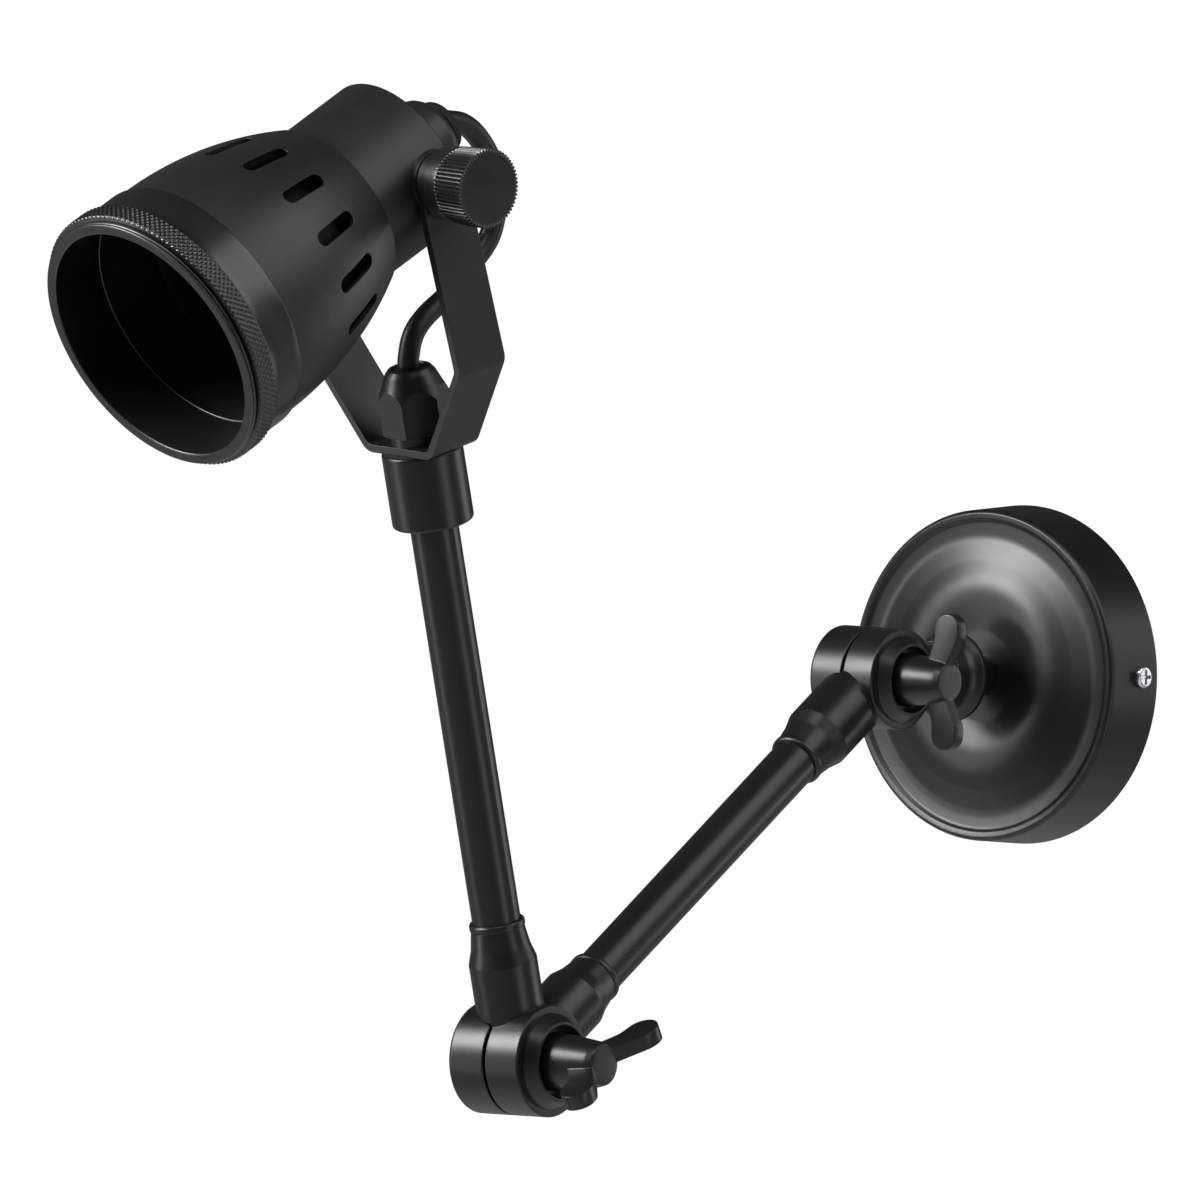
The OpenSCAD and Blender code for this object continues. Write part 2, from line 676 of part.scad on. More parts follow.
module yoke_strap() color([0.12, 0.12, 0.13]) yoke_frame() difference() {
    intersection() {
        union() {
            strap_side();
            mirror([1, 0, 0]) strap_side();
        }
        rotate([90, 0, 90]) translate([0, 0, -yoke_w]) linear_extrude(height = 2 * yoke_w) {
            translate([-strap_w / 2, -over]) square([strap_w, pivot_rise + over]);
            translate([0, pivot_rise]) circle(d = strap_w);
        }
    }
    translate([0, 0, -over]) cylinder(d = nipple_d + 2 * run_fit, h = strap_t + 2 * over);
    translate([0, 0, pivot_rise]) to_right() translate([0, 0, -yoke_w])
        cylinder(r = washer_bore_r, h = 2 * yoke_w);
}

module gland_washer() color([0.12, 0.12, 0.13]) yoke_frame() translate([0, 0, strap_t]) difference() {
    cylinder(d = gland_washer_d, h = gland_washer_t);
    translate([0, 0, -over]) cylinder(d = nipple_d + 2 * run_fit, h = gland_washer_t + 2 * over);
}

module gland_nut() color([0.1, 0.1, 0.1]) yoke_frame() intersection() {
    turned([[nipple_d / 2 + run_fit, gland_base], [gland_foot_r, gland_base, edge_round],
        [gland_r, gland_base + gland_wide_share * gland_l, soft_round],
        [gland_cone_r, gland_base + gland_cone_share * gland_l, soft_round],
        [gland_top_r, gland_top, soft_round], [gland_hole_r, gland_top, edge_round],
        [gland_hole_r, gland_base + gland_pocket_share * gland_l],
        [nipple_d / 2 + run_fit, gland_base + gland_pocket_share * gland_l]]);
    rotate([0, 0, gland_turn]) cylinder(r = gland_flat_r / cos(30), h = gland_top + over, $fn = 6);
}

module gland_seal() color([0.06, 0.06, 0.06]) yoke_frame()
    translate([0, 0, gland_base + gland_pocket_share * gland_l])
    cylinder(r = gland_hole_r - run_fit, h = (1 - gland_pocket_share) * gland_l - seal_sink);

// Cord, in the yoke's plane of symmetry
rear = [sin(head_angle), -cos(head_angle)];
cord_foot = [0, gland_top - seal_sink];
cord_head = [0, pivot_rise] + relief_end * rear;
cord_line = concat([cord_foot, cord_foot + [0, cord_lift]], cord_route,
    [cord_head + cord_out * rear, cord_head]);
cord_last = len(cord_line) - 1;

function cord_way(i) = i == 0 ? [0, 1] : i == cord_last ? -rear : unit(cord_line[i + 1] - cord_line[i - 1]);
function cord_ring(i) = [for (k = [0:cord_sides - 1])
    let(t = 360 * k / cord_sides, r = cord_d / 2, w = cord_way(i))
    [r * cos(t), cord_line[i][0] + r * sin(t) * w[1], cord_line[i][1] - r * sin(t) * w[0]]];

module cord() color([0.05, 0.05, 0.05]) yoke_frame() polyhedron(
    points = [for (i = [0:cord_last]) each cord_ring(i)],
    faces = concat([[for (k = [0:cord_sides - 1]) k]],
        [for (i = [0:cord_last - 1], k = [0:cord_sides - 1])
            let(a = i * cord_sides, b = a + cord_sides, n = (k + 1) % cord_sides)
            [a + k, b + k, b + n, a + n]],
        [[for (k = [cord_sides - 1:-1:0]) cord_last * cord_sides + k]]),
    convexity = 4);

// Head: z runs from the tilt axis to the mouth
module lug_holes() to_right() translate([0, 0, -lug_r]) cylinder(r = washer_bore_r, h = 2 * lug_r);

module housing() color([0.12, 0.12, 0.13]) head_frame() difference() {
    union() {
        turned([[relief_shaft_r + run_fit, -housing_rear], [housing_r, -housing_rear, edge_round],
            [housing_r, shade_rear + head_wall], [housing_r + head_wall / 2, shade_rear + head_wall],
            [housing_r + head_wall / 2, housing_front], [housing_r - head_wall, housing_front],
            [housing_r - head_wall, -housing_rear + head_wall],
            [relief_shaft_r + run_fit, -housing_rear + head_wall]]);
        intersection() {
            for (side = [-1, 1]) rotate([0, side * 90, 0]) translate([0, 0, boss_in])
                cylinder(r = boss_r, h = boss_face - boss_in);
            translate([-lug_r, -lug_r, -housing_rear])
                cube([2 * lug_r, 2 * lug_r, shade_rear + housing_rear - side_gap]);
        }
    }
    lug_holes();
    for (side = [-1, 1]) translate([0, side * holder_screw_r, -housing_rear - over])
        cylinder(d = holder_screw_d + 2 * run_fit, h = head_wall + 2 * over);
}

function shade_at(z, inset) = let(c = shade_r - shade_curve, rr = shade_curve - inset, d = z - shade_crest)
    [c + sqrt(rr * rr - d * d), z];

// The shade's side as points from a to b, at a depth of inset under its outside
function shade_side(a, b, inset) = [for (i = [0:shade_steps]) shade_at(a + (b - a) * i / shade_steps, inset)];

module shade() color([0.12, 0.12, 0.13]) head_frame() difference() {
    turned(concat([[housing_r + run_fit, shade_rear]], shade_side(shade_rear, shade_front, 0),
        shade_side(shade_front, shade_rear + head_wall, head_wall),
        [[housing_r + run_fit, shade_rear + head_wall]]));
    for (k = [0:slots - 1]) rotate([0, 0, slot_turn + 360 * k / slots]) translate([0, 0, slot_z]) to_right()
        linear_extrude(height = slot_reach) {
            square([slot_l - slot_w, slot_w], center = true);
            for (side = [-1, 1]) translate([side * (slot_l - slot_w) / 2, 0]) circle(d = slot_w);
        }
}

// Sleeve behind the slots, which hides the lamp and lets the warm air past
module light_baffle() color([0.1, 0.1, 0.1]) head_frame() turned([
    [housing_r - head_wall, housing_front], [baffle_rear_r, housing_front], [baffle_front_r, baffle_front],
    [baffle_front_r - baffle_t, baffle_front], [baffle_rear_r - baffle_t, housing_front + baffle_t],
    [housing_r - head_wall, housing_front + baffle_t]]);

module front_ring() color([0.12, 0.12, 0.13]) head_frame() turned([
    [shade_r + run_fit, ring_rear], [ring_r, ring_rear, edge_round], [ring_r, knurl_rear],
    [ring_r + knurl_h, knurl_rear, edge_round], [ring_r + knurl_h, knurl_front, edge_round],
    [ring_groove_r, knurl_front], [ring_groove_r, ring_groove_z], [ring_lip_r, ring_groove_z],
    [ring_lip_r, mouth_z, soft_round], [mouth_r, mouth_z, soft_round], [mouth_r, shade_front],
    [shade_r + run_fit, shade_front]]);

module rear_cap() color([0.12, 0.12, 0.13]) head_frame() mirror([0, 0, 1]) turned([
    [relief_shaft_r + run_fit, housing_rear], [cap_r, housing_rear], [cap_r, housing_rear + cap_l, cap_round],
    [relief_shaft_r + run_fit, housing_rear + cap_l]]);

module strain_relief() color([0.06, 0.06, 0.06]) head_frame() mirror([0, 0, 1]) turned([
    [0, housing_rear - head_wall], [relief_shaft_r, housing_rear - head_wall],
    [relief_shaft_r, housing_rear + cap_l],
    [relief_neck_r, housing_rear + cap_l], [relief_neck_r, relief_bead_z],
    [relief_bead_r, relief_bead_z, soft_round], [relief_bead_r, relief_end, relief_round], [0, relief_end]]);

// Lampholder
module lampholder() color([0.12, 0.12, 0.12]) head_frame() difference() {
    turned([[0, holder_base], [holder_d / 2, holder_base], [holder_d / 2, holder_base + holder_base_h],
        [holder_post_r, holder_base + holder_base_h], [holder_post_r, holder_rear],
        [holder_d / 2, holder_rear, soft_round], [holder_d / 2, holder_front, soft_round],
        [socket_r + socket_t + run_fit, holder_front], [socket_r + socket_t + run_fit, socket_floor],
        [0, socket_floor]]);
    translate([0, 0, socket_floor - contact_h]) cylinder(r = contact_d / 2 + run_fit, h = contact_h + over);
    for (side = [-1, 1]) translate([0, side * holder_screw_r, holder_base - over])
        cylinder(d = holder_screw_d + 2 * run_fit, h = holder_base_h + 2 * over);
}

module socket_shell() color([0.8, 0.7, 0.42]) head_frame() translate([0, 0, socket_floor]) difference() {
    cylinder(r = socket_r + socket_t, h = socket_l - edge_round);
    translate([0, 0, -over]) cylinder(r = socket_r, h = socket_l + 2 * over);
}

module centre_contact() color([0.8, 0.7, 0.42]) head_frame() translate([0, 0, socket_floor - contact_h])
    cylinder(d = contact_d, h = contact_h - contact_sink);

module holder_screws() color([0.78, 0.79, 0.8]) head_frame() for (side = [-1, 1])
    translate([0, side * holder_screw_r, -housing_rear]) mirror([0, 0, 1]) difference() {
        turned([[0, -holder_screw_l], [holder_screw_d / 2, -holder_screw_l], [holder_screw_d / 2, 0],
            [holder_head_d / 2, 0], [holder_head_d / 2, holder_head_h, soft_round], [0, holder_head_h]]);
        cross_slot(holder_head_h);
    }

// Tilt pivot; the knob's side is +x
module tilt_washer() color([0.12, 0.12, 0.13]) yoke_frame() translate([0, 0, pivot_rise]) to_right() turned([
    [washer_bore_r, strap_out], [washer_r, strap_out, edge_round], [washer_r, knob_back],
    [washer_bore_r, knob_back]]);

module tilt_knob() color([0.1, 0.1, 0.1]) head_frame() to_right() turned([
    [0, stud_in], [tilt_screw_d / 2, stud_in, edge_round], [tilt_screw_d / 2, knob_back],
    [knob_neck_d / 2, knob_back, edge_round], [knob_band_d / 2, knob_step],
    [knob_d / 2, knob_step + edge_round], [knob_d / 2, knob_face, edge_round], [0, knob_face]]);

module far_pivot_screw() color([0.12, 0.12, 0.13]) head_frame() to_left() difference() {
    turned([[0, stud_in - far_nut_h], [tilt_screw_d / 2, stud_in - far_nut_h],
        [tilt_screw_d / 2, strap_out], [far_head_d / 2, strap_out],
        [far_head_d / 2, strap_out + far_head_h, soft_round], [0, strap_out + far_head_h]]);
    translate([0, 0, strap_out + far_head_h / 2]) cylinder(d = far_key_d, h = far_head_h, $fn = 6);
}

module far_pivot_nut() color([0.78, 0.79, 0.8]) head_frame() to_left()
    translate([0, 0, boss_in - far_nut_h]) difference() {
        cylinder(d = far_nut_d, h = far_nut_h, $fn = 6);
        translate([0, 0, -over]) cylinder(r = washer_bore_r, h = far_nut_h + 2 * over);
    }

canopy();
wall_bracket();
side_screws();
terminal_block();
terminal_screws();
earth_screw();
stem_boss();
stem_knuckle();
stem_washer();
stem_nut();
stem_cable();
wall_hinge_bolt();
wall_hinge_washer();
wall_wing_nut();
lower_arm_top_knuckle();
lower_arm_tube();
lower_arm_end_knuckle();
lower_arm_cable();
elbow_hinge_bolt();
elbow_hinge_washer();
elbow_wing_nut();
upper_arm_knuckle();
upper_arm_tube();
upper_arm_coupler();
upper_arm_nipple();
upper_arm_cable();
yoke_strap();
gland_washer();
gland_nut();
gland_seal();
cord();
housing();
shade();
light_baffle();
front_ring();
rear_cap();
strain_relief();
lampholder();
socket_shell();
centre_contact();
holder_screws();
tilt_washer();
tilt_knob();
far_pivot_screw();
far_pivot_nut();
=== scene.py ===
"""Dresses the wall lamp: finishes for every piece, knurled and rounded pieces, the cord and a studio."""

import json
import math

import bmesh
import bpy
from mathutils import Matrix, Vector


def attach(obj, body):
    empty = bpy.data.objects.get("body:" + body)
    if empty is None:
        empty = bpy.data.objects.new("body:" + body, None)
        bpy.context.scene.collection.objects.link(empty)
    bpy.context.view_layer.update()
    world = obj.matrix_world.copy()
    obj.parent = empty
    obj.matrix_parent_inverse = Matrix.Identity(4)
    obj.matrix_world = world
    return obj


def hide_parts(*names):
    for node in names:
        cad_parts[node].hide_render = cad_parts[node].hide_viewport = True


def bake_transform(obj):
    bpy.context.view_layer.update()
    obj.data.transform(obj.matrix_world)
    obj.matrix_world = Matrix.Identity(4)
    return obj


bl_info = {
    "name": "Articulating wall lamp",
    "version": (1, 0, 0),
    "blender": (4, 5, 0),
    "location": "View3D > Sidebar > Lamp",
    "description": "Dresses a jointed wall spotlight with its paint, knurling, cord and studio",
    "category": "Object",
}

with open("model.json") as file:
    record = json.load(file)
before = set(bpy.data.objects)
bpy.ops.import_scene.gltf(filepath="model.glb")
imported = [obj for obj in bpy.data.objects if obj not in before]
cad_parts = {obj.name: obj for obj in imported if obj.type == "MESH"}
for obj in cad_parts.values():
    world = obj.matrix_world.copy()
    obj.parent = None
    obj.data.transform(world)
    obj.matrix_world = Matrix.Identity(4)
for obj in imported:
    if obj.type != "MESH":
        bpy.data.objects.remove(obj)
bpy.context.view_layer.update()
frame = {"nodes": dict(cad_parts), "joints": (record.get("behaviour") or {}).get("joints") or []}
NODES = frame["nodes"]
MM = 0.001


def joint(name):
    """A joint's point and axis in the row frame."""
    for entry in frame["joints"]:
        if entry["name"] == name:
            return Vector(entry.get("pos_m", (0, 0, 0))), Vector(entry["axis"]).normalized()
    raise RuntimeError("the frame has no joint named " + name)


def axes_at(origin, x, z):
    """A matrix whose x and z axes are the given ones."""
    z = z.normalized()
    x = (x - z * x.dot(z)).normalized()
    y = z.cross(x)
    return Matrix((
        (x.x, y.x, z.x, origin.x),
        (x.y, y.y, z.y, origin.y),
        (x.z, y.z, z.z, origin.z),
        (0, 0, 0, 1),
    ))


PIVOT, PIVOT_AXIS = joint("head_tilt")
MOUTH_AXIS = joint("ring_turn")[1]
YOKE_FOOT, ARM_AXIS = joint("yoke_swivel")
WALL_HINGE = joint("wall_hinge")[0]
ELBOW = joint("elbow_hinge")[0]
HEAD = axes_at(PIVOT, PIVOT_AXIS, MOUTH_AXIS)
YOKE = axes_at(YOKE_FOOT, PIVOT_AXIS, ARM_AXIS)


class LampSizes(bpy.types.PropertyGroup):
    ring_pitch: bpy.props.FloatProperty(
        name="Ring knurl pitch", description="Distance between the diamonds of the front ring",
        default=2.0 * MM, min=1.0 * MM, max=4.0 * MM, unit="LENGTH", precision=4)
    ring_depth: bpy.props.FloatProperty(
        name="Ring knurl depth", description="Depth of the grooves between the diamonds",
        default=0.42 * MM, min=0.1 * MM, max=0.8 * MM, unit="LENGTH", precision=5)
    knob_ribs: bpy.props.IntProperty(
        name="Knob ribs", description="Number of straight ribs round the tilt knob",
        default=60, min=24, max=96)
    knob_depth: bpy.props.FloatProperty(
        name="Knob rib depth", description="Depth of the grooves between the knob's ribs",
        default=0.7 * MM, min=0.1 * MM, max=0.9 * MM, unit="LENGTH", precision=5)
    wing_reach: bpy.props.FloatProperty(
        name="Wing reach", description="Distance from a wing nut's axis to the tips of its wings",
        default=22.5 * MM, min=18 * MM, max=25 * MM, unit="LENGTH", precision=4)
    edge_radius: bpy.props.FloatProperty(
        name="Edge softness", description="Radius that the paint's edges are shaded with",
        default=0.4 * MM, min=0.0, max=1.0 * MM, unit="LENGTH", precision=5)


class LampColours(bpy.types.PropertyGroup):
    paint: bpy.props.FloatVectorProperty(
        name="Paint", description="Colour of the painted metal", subtype="COLOR", size=3,
        default=(0.004, 0.004, 0.0042), min=0, max=1)
    head_paint: bpy.props.FloatVectorProperty(
        name="Head paint", description="Colour of the paint on the head and the yoke",
        subtype="COLOR", size=3, default=(0.0068, 0.0068, 0.0071), min=0, max=1)
    moulding: bpy.props.FloatVectorProperty(
        name="Moulding", description="Colour of the moulded plastic", subtype="COLOR", size=3,
        default=(0.0065, 0.0065, 0.0068), min=0, max=1)
    sheath: bpy.props.FloatVectorProperty(
        name="Cord sheath", description="Colour of the cord", subtype="COLOR", size=3,
        default=(0.005, 0.005, 0.0052), min=0, max=1)


def sizes():
    return bpy.context.scene.lamp_sizes


def colours():
    return bpy.context.scene.lamp_colours


def new_group(name, inputs, outputs):
    group = bpy.data.node_groups.new(name, "ShaderNodeTree")
    for label, kind, value in inputs:
        socket = group.interface.new_socket(name=label, in_out="INPUT", socket_type="NodeSocket" + kind)
        socket.default_value = value
    for label, kind in outputs:
        group.interface.new_socket(name=label, in_out="OUTPUT", socket_type="NodeSocket" + kind)
    return group, group.nodes.new("NodeGroupInput"), group.nodes.new("NodeGroupOutput")


def add(tree, kind, links=(), **values):
    """A node with its properties or input defaults set, and sockets fed by (input, socket) pairs."""
    node = tree.nodes.new("ShaderNode" + kind)
    for key, value in values.items():
        if key in node.inputs:
            node.inputs[key].default_value = value
        elif key.startswith("in") and key[2:].isdigit():
            node.inputs[int(key[2:])].default_value = value
        else:
            setattr(node, key, value)
    for target, source in links:
        tree.links.new(source, node.inputs[target])
    return node


def coat_group():
    """Sprayed or moulded skin: fine orange peel, faint clouding and specks of dust."""
    if "Fine skin" in bpy.data.node_groups:
        return bpy.data.node_groups["Fine skin"]
    group, start, end = new_group(
        "Fine skin",
        [("Colour", "Color", (0.01, 0.01, 0.01, 1)), ("Roughness", "Float", 0.4),
         ("Grain", "Float", 2500.0), ("Clouding", "Float", 0.35), ("Dust", "Float", 0.3)],
        [("Colour", "Color"), ("Roughness", "Float"), ("Height", "Float")])
    out = start.outputs
    place = add(group, "TexCoord").outputs["Object"]
    grain = add(group, "TexNoise", [("Vector", place), ("Scale", out["Grain"])],
                Detail=2.0, Roughness=0.55)
    cloud = add(group, "TexNoise", [("Vector", place)], Scale=38.0, Detail=3.0, Roughness=0.6)
    speck = add(group, "TexNoise", [("Vector", place)], Scale=900.0, Detail=1.0)
    mask = add(group, "MapRange", [("Value", speck.outputs["Fac"])])
    mask.inputs["From Min"].default_value = 0.70
    mask.inputs["From Max"].default_value = 0.78
    dust = add(group, "Math", [(0, mask.outputs["Result"]), (1, out["Dust"])], operation="MULTIPLY")
    swing = add(group, "Math", [(0, cloud.outputs["Fac"])], operation="SUBTRACT", in1=0.5)
    amount = add(group, "Math", [(0, swing.outputs[0]), (1, out["Clouding"])], operation="MULTIPLY")
    gain = add(group, "Math", [(0, amount.outputs[0])], operation="ADD", in1=1.0)
    tint = add(group, "VectorMath", [(0, out["Colour"]), ("Scale", gain.outputs[0])], operation="SCALE")
    pale = add(group, "VectorMath", [(0, tint.outputs[0])], operation="SCALE", Scale=2.2)
    mix = add(group, "Mix", [(6, tint.outputs[0]), (7, pale.outputs[0]), (0, dust.outputs[0])],
              data_type="RGBA")
    step = add(group, "Math", [(0, amount.outputs[0])], operation="MULTIPLY", in1=0.35)
    rough = add(group, "Math", [(0, out["Roughness"]), (1, step.outputs[0])], operation="ADD")
    dusty = add(group, "Math", [(0, dust.outputs[0]), (2, rough.outputs[0])],
                operation="MULTIPLY_ADD", in1=0.15)
    group.links.new(mix.outputs[2], end.inputs["Colour"])
    group.links.new(dusty.outputs[0], end.inputs["Roughness"])
    group.links.new(grain.outputs["Fac"], end.inputs["Height"])
    return group


def skin(name, colour, rough, specular, grain=2500.0, relief=0.02, clouding=0.35, dust=0.3, metal=0.0,
         edge=None, coat=0.0, coat_rough=0.2):
    """A finished material: the fine skin on a Principled surface, with softened edges."""
    material = bpy.data.materials.new(name)
    material.use_nodes = True
    tree = material.node_tree
    tree.nodes.clear()
    group = tree.nodes.new("ShaderNodeGroup")
    group.node_tree = coat_group()
    for key, value in (
            ("Colour", (*colour, 1)), ("Roughness", rough), ("Grain", grain), ("Clouding", clouding),
            ("Dust", dust)):
        group.inputs[key].default_value = value
    radius = sizes().edge_radius if edge is None else edge
    soft = add(tree, "Bevel", samples=6, Radius=radius)
    bump = add(tree, "Bump", [("Height", group.outputs["Height"]), ("Normal", soft.outputs["Normal"])],
               Strength=1.0, Distance=relief * MM)
    shader = add(tree, "BsdfPrincipled", [
        ("Base Color", group.outputs["Colour"]), ("Roughness", group.outputs["Roughness"]),
        ("Normal", bump.outputs["Normal"])], Metallic=metal)
    shader.inputs["Specular IOR Level"].default_value = specular
    shader.inputs["Coat Weight"].default_value = coat
    shader.inputs["Coat Roughness"].default_value = coat_rough
    end = tree.nodes.new("ShaderNodeOutputMaterial")
    tree.links.new(shader.outputs["BSDF"], end.inputs["Surface"])
    return material


MATERIALS = {}


def make_materials():
    c = colours()
    MATERIALS.update({
        "paint": skin("Satin black paint", c.paint, 0.34, 0.36),
        "head": skin("Satin black paint, head", c.head_paint, 0.42, 0.38),
        "dish": skin("Satin black paint, spun", c.paint, 0.35, 0.36),
        "knurl": skin("Satin black paint, knurled", c.paint, 0.31, 0.52, edge=0.0),
        "inside": skin("Black paint, inside", c.paint, 0.55, 0.10, dust=0.1),
        "moulding": skin("Black moulding", c.moulding, 0.36, 0.38, grain=3400.0, relief=0.012),
        "knob": skin("Black knob", c.moulding, 0.28, 0.5, relief=0.012, edge=0.0),
        "rubber": skin("Black rubber", c.sheath, 0.6, 0.2, grain=1800.0),
        "sheath": skin("Cord sheath", c.sheath, 0.42, 0.30, grain=1500.0, relief=0.015, edge=0.0),
        "bright": skin("Plated steel", (0.5, 0.505, 0.52), 0.26, 0.5, metal=1.0, relief=0.004,
                       clouding=0.1, dust=0.0),
        "zinc": skin("Zinc plate", (0.55, 0.56, 0.57), 0.42, 0.5, metal=1.0, clouding=0.5, dust=0.1),
        "brass": skin("Brass", (0.72, 0.52, 0.22), 0.3, 0.5, metal=1.0, dust=0.05, relief=0.006),
        "ivory": skin("Terminal plastic", (0.62, 0.6, 0.52), 0.5, 0.5, dust=0.1),
    })


NODE_FINISH = {
    "canopy": "dish", "wall_bracket": "zinc", "side_screws": "bright", "terminal_block": "ivory",
    "terminal_screws": "brass", "earth_screw": "brass", "stem_boss": "paint", "stem_knuckle": "paint",
    "stem_washer": "bright", "stem_nut": "bright", "stem_cable": "sheath", "wall_hinge_bolt": "bright",
    "wall_hinge_washer": "moulding", "wall_wing_nut": "paint", "lower_arm_top_knuckle": "paint",
    "lower_arm_tube": "paint", "lower_arm_end_knuckle": "paint", "lower_arm_cable": "sheath",
    "elbow_hinge_bolt": "bright", "elbow_hinge_washer": "moulding", "elbow_wing_nut": "paint",
    "upper_arm_knuckle": "paint", "upper_arm_tube": "paint", "upper_arm_coupler": "paint",
    "upper_arm_nipple": "zinc", "upper_arm_cable": "sheath", "yoke_strap": "head",
    "gland_washer": "paint", "gland_nut": "moulding", "gland_seal": "rubber", "cord": "sheath",
    "housing": "head", "shade": "head", "light_baffle": "inside", "front_ring": "head",
    "rear_cap": "head", "strain_relief": "rubber", "lampholder": "moulding", "socket_shell": "brass",
    "centre_contact": "brass", "holder_screws": "bright", "tilt_washer": "paint", "tilt_knob": "knob",
    "far_pivot_screw": "paint", "far_pivot_nut": "bright",
}


def finish_piece(bm, name, place, material, body, node=None, angle=32):
    """Turns a bmesh drawn in millimetres in a local frame into a piece that rides on a body."""
    bmesh.ops.remove_doubles(bm, verts=bm.verts, dist=0.0005)
    bmesh.ops.recalc_face_normals(bm, faces=bm.faces)
    for face in bm.faces:
        face.smooth = True
    sharp = math.radians(angle)
    for edge in bm.edges:
        if len(edge.link_faces) == 2 and edge.calc_face_angle(0) > sharp:
            edge.smooth = False
    mesh = bpy.data.meshes.new(name)
    bm.to_mesh(mesh)
    bm.free()
    mesh.transform(place @ Matrix.Scale(MM, 4))
    piece = bpy.data.objects.new(name, mesh)
    bpy.context.scene.collection.objects.link(piece)
    mesh.materials.append(MATERIALS[material])
    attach(piece, body)
    if node:
        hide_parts(node)
    return piece


def turned(profile, steps, closed=False):
    """A bmesh turned about z from [radius, height] points."""
    bm = bmesh.new()
    verts = [bm.verts.new((r, 0, z)) for r, z in profile]
    edges = [bm.edges.new(pair) for pair in zip(verts, verts[1:])]
    if closed:
        edges.append(bm.edges.new((verts[-1], verts[0])))
    bmesh.ops.spin(bm, geom=verts + edges, cent=(0, 0, 0), axis=(0, 0, 1), angle=math.tau, steps=steps,
                   use_merge=True, use_duplicate=False)
    return bm


def arc(cx, cz, radius, start, stop, count):
    """Points of an arc, in degrees from the r axis towards z."""
    return [(cx + radius * math.cos(math.radians(a)), cz + radius * math.sin(math.radians(a)))
            for a in (start + (stop - start) * i / (count - 1) for i in range(count))]


def between(a, b, count):
    """Points from a to b, without a."""
    return [
        (a[0] + (b[0] - a[0]) * i / count, a[1] + (b[1] - a[1]) * i / count)
        for i in range(1, count + 1)]


def rounded(points, closed=False, step=9):
    """Points of a line with corners rounded by their third number, in steps of the given degrees."""
    line = []
    for i, point in enumerate(points):
        here = Vector(point[:2])
        radius = point[2] if len(point) > 2 else 0
        if not radius or not closed and i in (0, len(points) - 1):
            line.append(tuple(here))
            continue
        back = (Vector(points[i - 1][:2]) - here).normalized()
        on = (Vector(points[(i + 1) % len(points)][:2]) - here).normalized()
        half = back.angle(on) / 2
        centre = here + (back + on).normalized() * (radius / math.sin(half))
        start = here + back * (radius / math.tan(half)) - centre
        sweep = math.pi - 2 * half
        if back.cross(on) > 0:
            sweep = -sweep
        count = max(2, math.ceil(abs(math.degrees(sweep)) / step))
        for k in range(count + 1):
            turn = Matrix.Rotation(sweep * k / count, 2)
            line.append(tuple(centre + turn @ start))
    return line


def filled(line, longest):
    """The same line with long stretches split, so that none is longer than the length given."""
    out = [line[0]]
    for a, b in zip(line, line[1:]):
        count = max(1, math.ceil(math.dist(a, b) / longest))
        out += between(a, b, count)
    return out


class Canopy(bpy.types.Operator):
    """Canopy: rolled lip, soft groove and a dished dome in one spun shell"""
    bl_idname = "lamp.canopy"
    bl_label = "Canopy"

    def execute(self, context):
        wall = 1.5
        outside = [
            (50, 0), (50, 0.4, 0.3), (48.95, 19.5, 1.3), (47.9, 20.4, 0.7), (46.4, 20.1, 0.9),
            (45.4, 19.3, 2), (41, 18.75, 8), (34, 20.6, 14), (25.5, 23.45, 20), (13.5, 21.4, 10),
            (5.05, 21.4)]
        inside = [
            (5.05, 21.4 - wall), (13.5, 21.4 - wall, 8), (25.5, 23.4 - wall, 20), (34, 20.5 - wall, 14),
            (41, 18.7 - wall, 6), (48.9 - wall, 18.7 - wall, 1), (50 - wall, 0)]
        profile = filled(rounded(outside, step=4), 2.5) + rounded(inside, step=8)
        bm = turned(profile, 160, closed=True)
        place = Matrix.Rotation(math.pi / 2, 4, "X")
        finish_piece(bm, "canopy_spun", place, "dish", "wall_mount", "canopy", angle=50)
        return {"FINISHED"}


class LightBaffle(bpy.types.Operator):
    """Sleeve behind the slots of the shade, long enough to hide them from the mouth"""
    bl_idname = "lamp.light_baffle"
    bl_label = "Light baffle"

    def execute(self, context):
        rear, front = 29.0, 62.0
        rear_r, front_r, wall = 26.0, 34.9, 0.8
        outside = between((rear_r, rear), (front_r, front), 12)
        inside = between((front_r - wall, front), (rear_r - wall, rear), 12)
        bm = turned(outside + inside, 96, closed=True)
        finish_piece(bm, "light_baffle_sleeve", HEAD, "inside", "head", "light_baffle")
        return {"FINISHED"}


